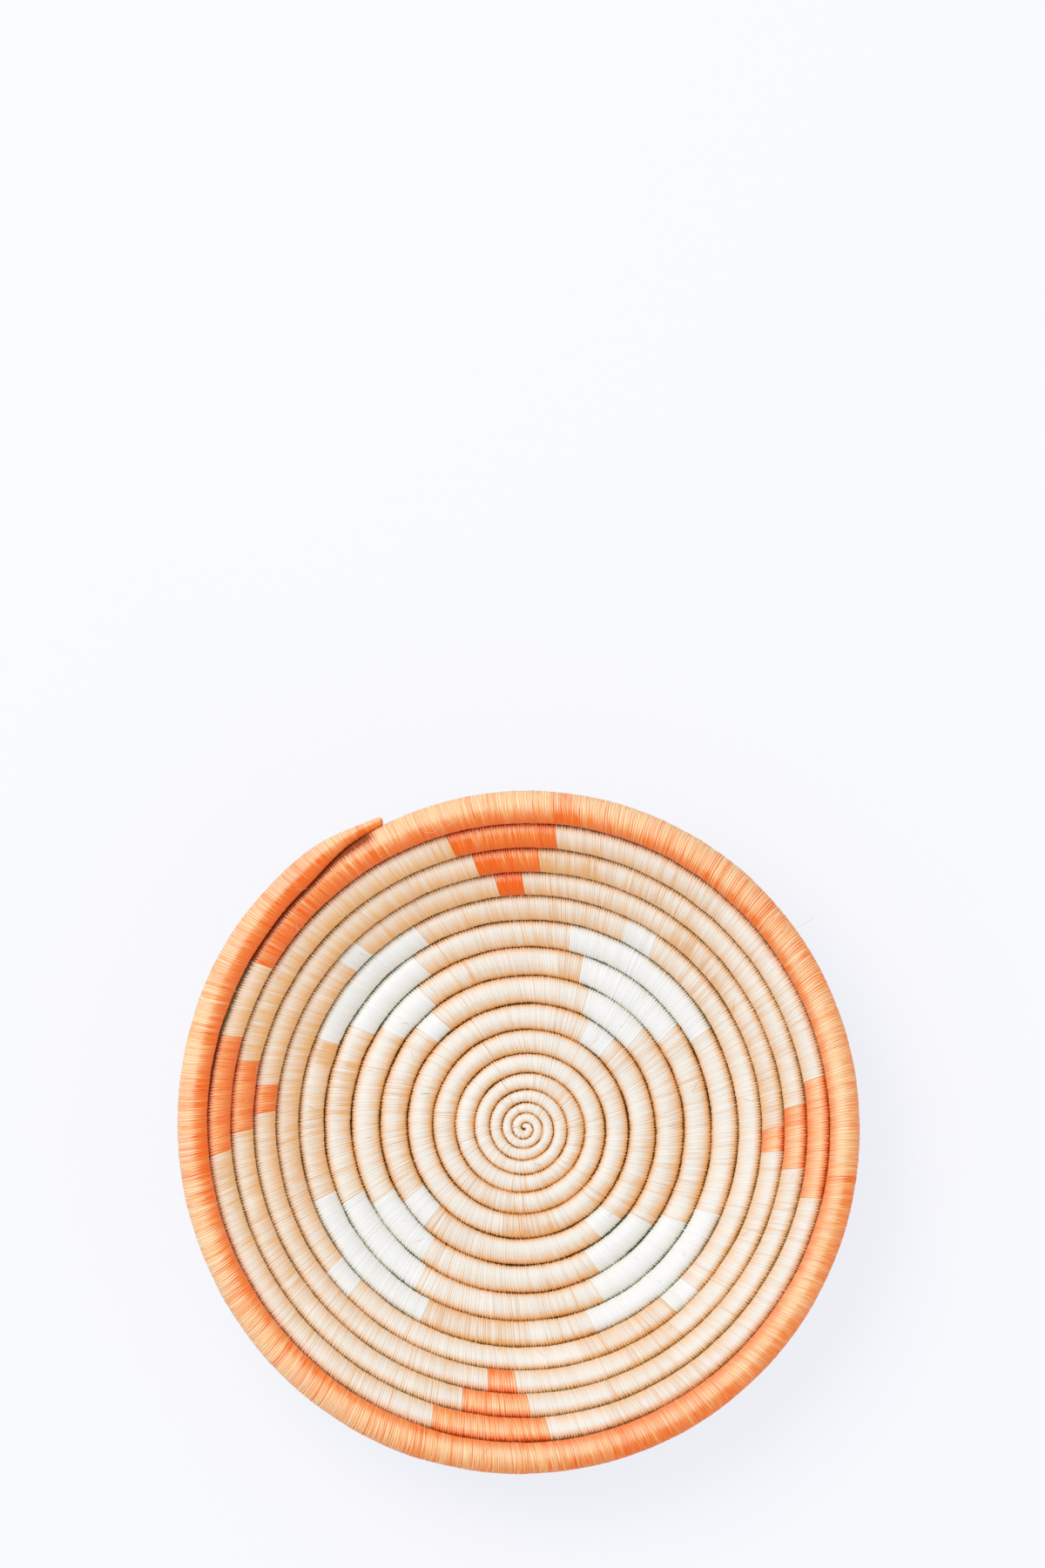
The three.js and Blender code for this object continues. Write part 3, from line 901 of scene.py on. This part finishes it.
class CoiledBowlStudio(bpy.types.PropertyGroup):
    """The floor, the light and the camera"""

    paper: colour_property("Paper", "Colour of the floor and of all that lies behind it", "#FAFBFF")
    camera_height: bpy.props.FloatProperty(
        name="Camera height",
        description="Height of the camera above the floor",
        default=12.0, min=0.5, max=50.0, unit="LENGTH",
    )
    key_power: bpy.props.FloatProperty(
        name="Key light",
        description="Power of the large lamp at the upper left",
        default=29.4, min=0.0, unit="POWER",
    )
    fill_power: bpy.props.FloatProperty(
        name="Fill light",
        description="Power of the low lamp at the lower right, which lights what faces away from the key",
        default=5.5, min=0.0, unit="POWER",
    )
    sky_strength: bpy.props.FloatProperty(
        name="Sky",
        description="Strength of the even light from all round",
        default=0.66, min=0.0, max=2.0,
    )


# --- Operators ---
class COILED_BOWL_OT_grass_core(bpy.types.Operator):
    """Make the grass bundle that the sisal is wound round"""

    bl_idname = "coiled_bowl.grass_core"
    bl_label = "Grass core"

    def execute(self, context):
        strands = Strands(context)
        columns = Columns(strands)
        columns.layer(strands.index(0), strands.index(CORE_TURNS) - CORE_SHORT, BORE_DEPTH + CORE_PLAY)
        add_wrap("grass_bundle", columns, dried_grass(), "grass_core", "grass_core")
        return {"FINISHED"}


class COILED_BOWL_OT_start_knot(bpy.types.Operator):
    """Make the first bend of the coil, in the middle of the base"""

    bl_idname = "coiled_bowl.start_knot"
    bl_label = "Start knot"

    def execute(self, context):
        strands = Strands(context)
        columns = Columns(strands)
        columns.wrap(0, strands.index(0))
        add_wrap("start_knot", columns, sisal_of("natural", context), "natural_sisal", "centre_knot")

        # the end of the bundle, pressed down in the middle of the knot
        bm = bmesh.new()
        bm.loops.layers.uv.new("Strands")
        bmesh.ops.create_uvsphere(bm, u_segments=20, v_segments=10, radius=HEART_RADIUS * MM, calc_uvs=True)
        bmesh.ops.scale(bm, vec=(1, 1, HEART_FLATNESS), verts=bm.verts)
        bmesh.ops.translate(bm, vec=Vector((*MIDDLE, HEART_HEIGHT)) * MM, verts=bm.verts)
        heart = mesh_from(bm, "knot_heart")
        heart.shade_smooth()
        add_piece("knot_heart", heart, dried_grass(), "grass_core")
        return {"FINISHED"}


class COILED_BOWL_OT_natural_rounds(bpy.types.Operator):
    """Wrap each round in natural sisal, with a waist under each colour block"""

    bl_idname = "coiled_bowl.natural_rounds"
    bl_label = "Natural rounds"

    def execute(self, context):
        strands = Strands(context)
        sisal = sisal_of("natural", context)
        blocks = blocks_of("white", WHITE_BLOCKS, strands) + blocks_of("orange", ORANGE_BLOCKS, strands)
        (rim_start,) = strands.indices(*RIM_START)
        innermost = math.floor(COIL_TURNS)
        for round_in in range(innermost, RIM_START[0] - 1, -1):
            first = strands.index(0 if round_in == innermost else COIL_TURNS - round_in)
            last = min(rim_start, strands.index(COIL_TURNS - round_in + 1))
            columns = Columns(strands)
            reached = first
            for _, start, end in sorted(blocks, key=lambda block: block[1]):
                if first < start and end < last:
                    columns.wrap(reached, start)
                    columns.layer(start, end, WAIST_DEPTH)
                    reached = end
            columns.wrap(reached, last)
            columns.layer(last, first, BORE_DEPTH)
            columns.close()
            node = f"natural_wrap_round_{round_in:02d}"
            add_wrap(node.replace("wrap", "sisal"), columns, sisal, "natural_sisal", node)
        return {"FINISHED"}


def add_sleeves(context, colour, sides):
    """Wraps the blocks of one colour."""
    strands = Strands(context)
    sisal = sisal_of(colour, context)
    for node, first, last in blocks_of(colour, sides, strands):
        columns = Columns(strands, bold=colour == "orange")
        columns.wrap(first, last)
        columns.layer(last, first, SLEEVE_DEPTH)
        columns.close()
        add_wrap(node.replace("wrap", "sisal_block"), columns, sisal, f"{colour}_sisal", node)


class COILED_BOWL_OT_white_blocks(bpy.types.Operator):
    """Wrap the stepped white blocks"""

    bl_idname = "coiled_bowl.white_blocks"
    bl_label = "White blocks"

    def execute(self, context):
        add_sleeves(context, "white", WHITE_BLOCKS)
        return {"FINISHED"}


class COILED_BOWL_OT_orange_blocks(bpy.types.Operator):
    """Wrap the stepped orange blocks"""

    bl_idname = "coiled_bowl.orange_blocks"
    bl_label = "Orange blocks"

    def execute(self, context):
        add_sleeves(context, "orange", ORANGE_BLOCKS)
        return {"FINISHED"}


class COILED_BOWL_OT_orange_rim(bpy.types.Operator):
    """Wrap the orange rim, to the tip of the coil's tail"""

    bl_idname = "coiled_bowl.orange_rim"
    bl_label = "Orange rim"

    def execute(self, context):
        strands = Strands(context)
        (first,), blind_end = strands.indices(*RIM_START), strands.index(CORE_TURNS)
        columns = Columns(strands, bold=True)
        columns.layer(blind_end, first, BORE_DEPTH)
        columns.wrap(first, len(strands.edge) - 1)
        columns.round_tip()
        sisal = sisal_of("orange", context)
        add_wrap("orange_sisal_rim", columns, sisal, "orange_sisal", "orange_wrap_rim")
        return {"FINISHED"}


class COILED_BOWL_OT_loose_fibres(bpy.types.Operator):
    """Add the fibres that have come loose from the wrap, and the orange stitches that show in a gap"""

    bl_idname = "coiled_bowl.loose_fibres"
    bl_label = "Loose fibres"

    def execute(self, context):
        rng = np.random.default_rng(context.scene.coiled_bowl_wrap.seed + 1)
        rim = turn_at(*RIM_START)
        natural = [*map(laid_fibre, NATURAL_FIBRES)]
        natural += sprung_fibres(rng, SPRUNG_FIBRES, COIL_TURNS - SPRUNG_TURNS, rim)
        orange = [*map(laid_fibre, ORANGE_FIBRES), smooth_path(RIM_HAIR)]
        orange += sprung_fibres(rng, SPRUNG_FIBRES // 3, rim, COIL_TURNS - TAIL_TURNS)
        tips = [
            np.array([(x, y + rise, top_height(x, y) + over) for rise, over in STITCH_ARC])
            for x, y in STITCH_TIPS
        ]
        for name, paths, thickness, slot, look in (
            ("loose_natural_fibres", natural, 1, "natural_sisal", "loose_natural_sisal_fibre"),
            ("loose_orange_fibres", orange, 1, "orange_sisal", "loose_orange_sisal_fibre"),
            ("orange_stitch_tips", tips, 5, "orange_sisal", "orange_stitch_sisal"),
            ("loose_grass_fibres", map(laid_fibre, GRASS_FIBRES), 0.7, "grass_core", "loose_grass_fibre"),
        ):
            mesh = fibres_mesh(name, paths, thickness * FIBRE_RADIUS)
            add_piece(name, mesh, loose_fibre(look), slot)
        return {"FINISHED"}


PICTURE = (1200, 1800)
ORIGIN_AT = (595.6, 1300)  # where the bowl's origin lies in the picture
SEEN_HEIGHT, RIM_LEVEL = 0.585, 0.045  # how much the picture shows from top to bottom, at the rim's height
KEY_LAMP = dict(place=(-1.08, 0.96, 2.1), target=(0, 0, 0.02), size=1.6)
FILL_LAMP = dict(place=(1.9, -1.0, 0.34), target=(0, 0, 0.03), size=0.5)
FLOOR_LIGHT = 1.03  # how brightly the lamps and the sky light a white floor
FLOOR_SIZE = 6
# What the camera sees is mostly the paper's own even white, with this much real shading in its red, green
# and blue, which keeps the bowl's shadow
SHADED = (0.27, 0.215, 0.16)


def area_lamp(name, place, target, size, power):
    """A square lamp that looks at a point."""
    light = bpy.data.lights.new(name, "AREA")
    light.size = size
    light.energy = power
    lamp = new_object(name, light)
    lamp.location = place
    lamp.rotation_euler = (Vector(target) - Vector(place)).to_track_quat("-Z", "Y").to_euler()


def seen_directly(tree):
    """1 where the camera, a mirror or glass sees the surface, 0 where it only lights the rest."""
    path = add(tree, "LightPath")
    rays = [path.outputs[f"Is {kind} Ray"] for kind in ("Camera", "Glossy", "Transmission")]
    either = add(tree, "Math", {0: rays[0], 1: rays[1]}, operation="MAXIMUM").outputs[0]
    return add(tree, "Math", {0: either, 1: rays[2]}, operation="MAXIMUM").outputs[0]


class COILED_BOWL_OT_stage(bpy.types.Operator):
    """Set up the paper floor, the light and the camera"""

    bl_idname = "coiled_bowl.stage"
    bl_label = "Studio"

    def execute(self, context):
        studio = context.scene.coiled_bowl_studio
        paper = linear(hex_of(studio.paper))
        self.floor(paper)
        self.world(context, paper, studio.sky_strength)
        area_lamp("key_lamp", power=studio.key_power, **KEY_LAMP)
        area_lamp("fill_lamp", power=studio.fill_power, **FILL_LAMP)
        self.camera(context, studio.camera_height)
        context.scene.view_settings.view_transform = "Standard"
        return {"FINISHED"}

    def floor(self, paper):
        """Matt white paper, even and bright, with little on it but the bowl's shadow."""
        bm = bmesh.new()
        bmesh.ops.create_grid(bm, x_segments=1, y_segments=1, size=FLOOR_SIZE)
        mesh = mesh_from(bm, "paper_floor")
        material, tree = new_material("matt_white_paper")
        own = [c * (1 - share) for c, share in zip(paper, SHADED)] + [1.0]
        lit = [c * share / FLOOR_LIGHT for c, share in zip(paper, SHADED)] + [1.0]
        glow = add(tree, "Emission", {"Color": own, "Strength": 1.0})
        matt = add(tree, "BsdfDiffuse", {"Color": lit})
        seen = add(tree, "AddShader", {0: glow.outputs[0], 1: matt.outputs[0]})
        plain = add(tree, "BsdfDiffuse", {"Color": linear("#E6E6E6")})
        either = add(tree, "MixShader", {0: seen_directly(tree), 1: plain.outputs[0], 2: seen.outputs[0]})
        add(tree, "OutputMaterial", {"Surface": either.outputs[0]})
        mesh.materials.append(material)
        floor = new_object("paper_floor", mesh)

    def world(self, context, paper, strength):
        world = bpy.data.worlds.new("studio")
        context.scene.world = world
        world.use_nodes = True
        tree = world.node_tree
        tree.nodes.clear()
        sky = add(tree, "Background", {"Color": linear("#FFFFFF"), "Strength": strength})
        backdrop = add(tree, "Background", {"Color": paper, "Strength": 1.0})
        by_camera = add(tree, "LightPath").outputs["Is Camera Ray"]
        either = add(tree, "MixShader", {0: by_camera, 1: sky.outputs[0], 2: backdrop.outputs[0]})
        add(tree, "OutputWorld", {"Surface": either.outputs[0]})

    def camera(self, context, height):
        wide, tall = PICTURE
        lens = bpy.data.cameras.new("camera")
        lens.sensor_width = 36
        lens.lens = lens.sensor_width * (height - RIM_LEVEL) / SEEN_HEIGHT
        lens.shift_x = (wide / 2 - ORIGIN_AT[0]) / tall
        lens.shift_y = (ORIGIN_AT[1] - tall / 2) / tall
        lens.clip_end = 100
        camera = new_object("camera", lens)
        camera.location = (0, 0, height)
        context.scene.camera = camera


PIECE_OPERATORS = (
    COILED_BOWL_OT_grass_core,
    COILED_BOWL_OT_start_knot,
    COILED_BOWL_OT_natural_rounds,
    COILED_BOWL_OT_white_blocks,
    COILED_BOWL_OT_orange_blocks,
    COILED_BOWL_OT_orange_rim,
    COILED_BOWL_OT_loose_fibres,
)


class COILED_BOWL_PT_panel(bpy.types.Panel):
    """The bowl's settings, and a button for each of its pieces"""

    bl_label = "Coiled Bowl"
    bl_idname = "COILED_BOWL_PT_panel"
    bl_space_type = "VIEW_3D"
    bl_region_type = "UI"
    bl_category = "Coiled Bowl"

    def draw(self, context):
        for name, group in GROUPS.items():
            box = self.layout.box()
            box.label(text=name.removeprefix("coiled_bowl_").title())
            for key in group.__annotations__:
                box.prop(getattr(context.scene, name), key)
        for operator in (*PIECE_OPERATORS, COILED_BOWL_OT_stage):
            self.layout.operator(operator.bl_idname)


GROUPS = {
    "coiled_bowl_wrap": CoiledBowlWrap,
    "coiled_bowl_colours": CoiledBowlColours,
    "coiled_bowl_studio": CoiledBowlStudio,
}
CLASSES = (*GROUPS.values(), *PIECE_OPERATORS, COILED_BOWL_OT_stage, COILED_BOWL_PT_panel)


def register():
    for cls in CLASSES:
        bpy.utils.register_class(cls)
    for name, group in GROUPS.items():
        setattr(bpy.types.Scene, name, bpy.props.PointerProperty(type=group))


def unregister():
    for name in GROUPS:
        delattr(bpy.types.Scene, name)
    for cls in reversed(CLASSES):
        bpy.utils.unregister_class(cls)


def main():
    register()
    bpy.ops.coiled_bowl.stage()
    bpy.ops.coiled_bowl.grass_core()
    bpy.ops.coiled_bowl.start_knot()
    bpy.ops.coiled_bowl.natural_rounds()
    bpy.ops.coiled_bowl.white_blocks()
    bpy.ops.coiled_bowl.orange_blocks()
    bpy.ops.coiled_bowl.orange_rim()
    bpy.ops.coiled_bowl.loose_fibres()


if __name__ == "__main__":
    main()
